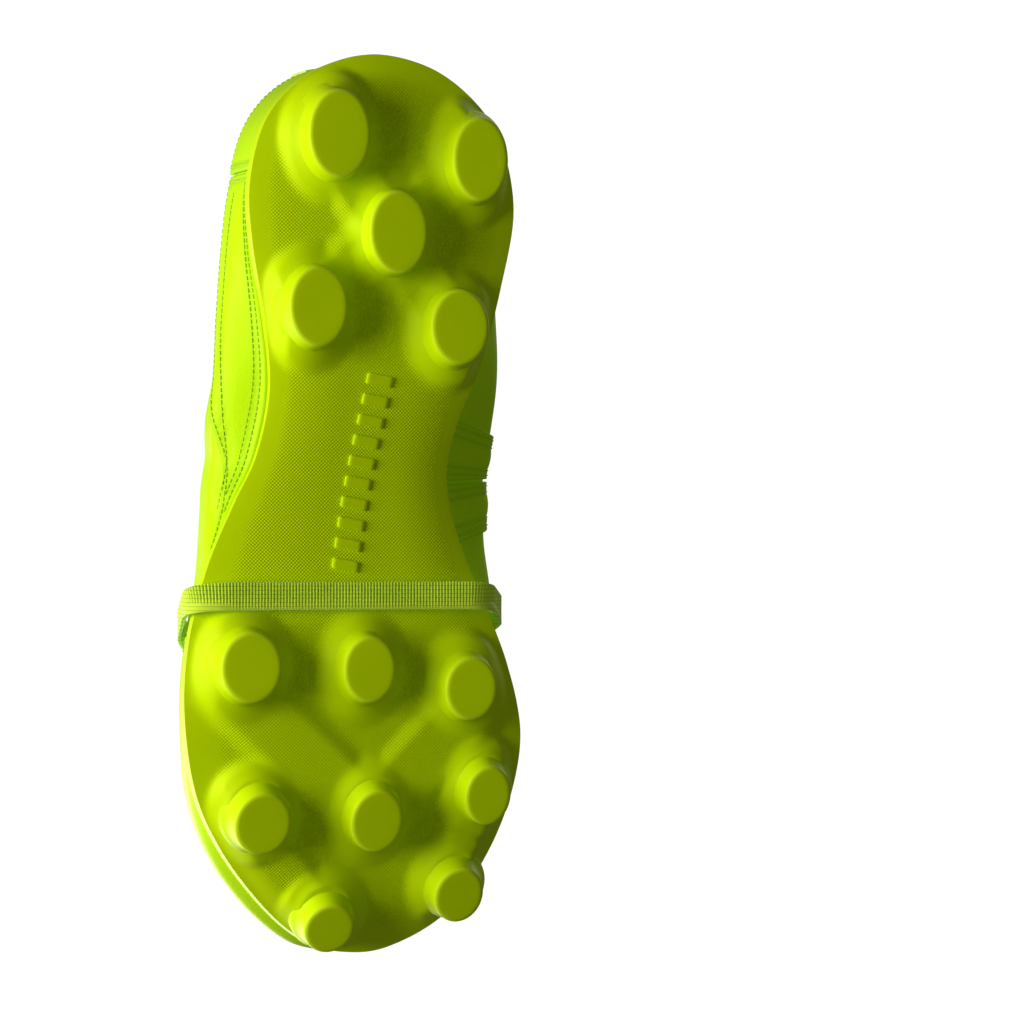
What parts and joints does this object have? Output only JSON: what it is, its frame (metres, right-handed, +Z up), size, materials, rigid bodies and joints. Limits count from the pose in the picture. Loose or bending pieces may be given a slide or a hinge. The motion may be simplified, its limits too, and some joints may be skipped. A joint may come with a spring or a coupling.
{
  "type": "soccer cleat",
  "caption": "Low-top left soccer cleat with moulded oval-stud sole, layered leather upper, fold-over tongue and elastic arch strap.",
  "frame": {"origin": "middle of the bounding box on the ground that the studs stand on", "axes": "+Z up, toe towards -Y, heel towards +Y, outer side of the left foot towards +X"},
  "size_m": [0.1188, 0.3058, 0.1283],
  "materials": {
    "sole_rubber": "matt moulded, fine knurl",
    "upper_leather": "smooth satin leather",
    "lining_fabric": "matt knitted lining",
    "strap_webbing": "ribbed elastic webbing",
    "foam": "foam",
    "stiffener": "matt sheet",
    "board": "fibre board",
    "shank_steel": "plain spring steel"
  },
  "bodies": {
    "shoe": {"outsole": "sole_rubber", "midsole": "foam", "shank": "shank_steel", "insole_board": "board", "vamp": "upper_leather", "vamp_lining": "lining_fabric", "toe_puff": "stiffener", "quarter_lateral": "upper_leather", "quarter_medial": "upper_leather", "quarter_lining_lateral": "lining_fabric", "quarter_lining_medial": "lining_fabric", "heel_counter": "stiffener", "heel_cover": "upper_leather", "side_panel_lateral": "upper_leather", "side_panel_medial_front": "upper_leather", "side_panel_medial_rear": "upper_leather", "eyestay_lateral": "upper_leather", "eyestay_medial": "upper_leather", "collar_padding": "upper_leather", "tongue": "upper_leather", "elastic_strap": "strap_webbing"},
    "flap": {"tongue_flap": "upper_leather"},
    "pull_tab": {"heel_pull_tab": "strap_webbing"},
    "footbed": {"sockliner": "lining_fabric"}
  },
  "joints": [
    {"name": "flap_fold", "type": "hinge", "parent": "shoe", "child": "flap", "pos_m": [-0.008, 0.042, 0.127], "axis": [-1, 0, 0], "range_deg": [0, 150]},
    {"name": "pull_tab_bend", "type": "hinge", "parent": "shoe", "child": "pull_tab", "pos_m": [-0.008, 0.1519, 0.084], "axis": [-1, 0, 0], "range_deg": [0, 75], "stiffness_Nm_per_rad": 0.004},
    {"name": "footbed_lift", "type": "hinge", "parent": "shoe", "child": "footbed", "pos_m": [-0.006, -0.142, 0.046], "axis": [1, 0, 0], "range_deg": [0, 5]}
  ]
}
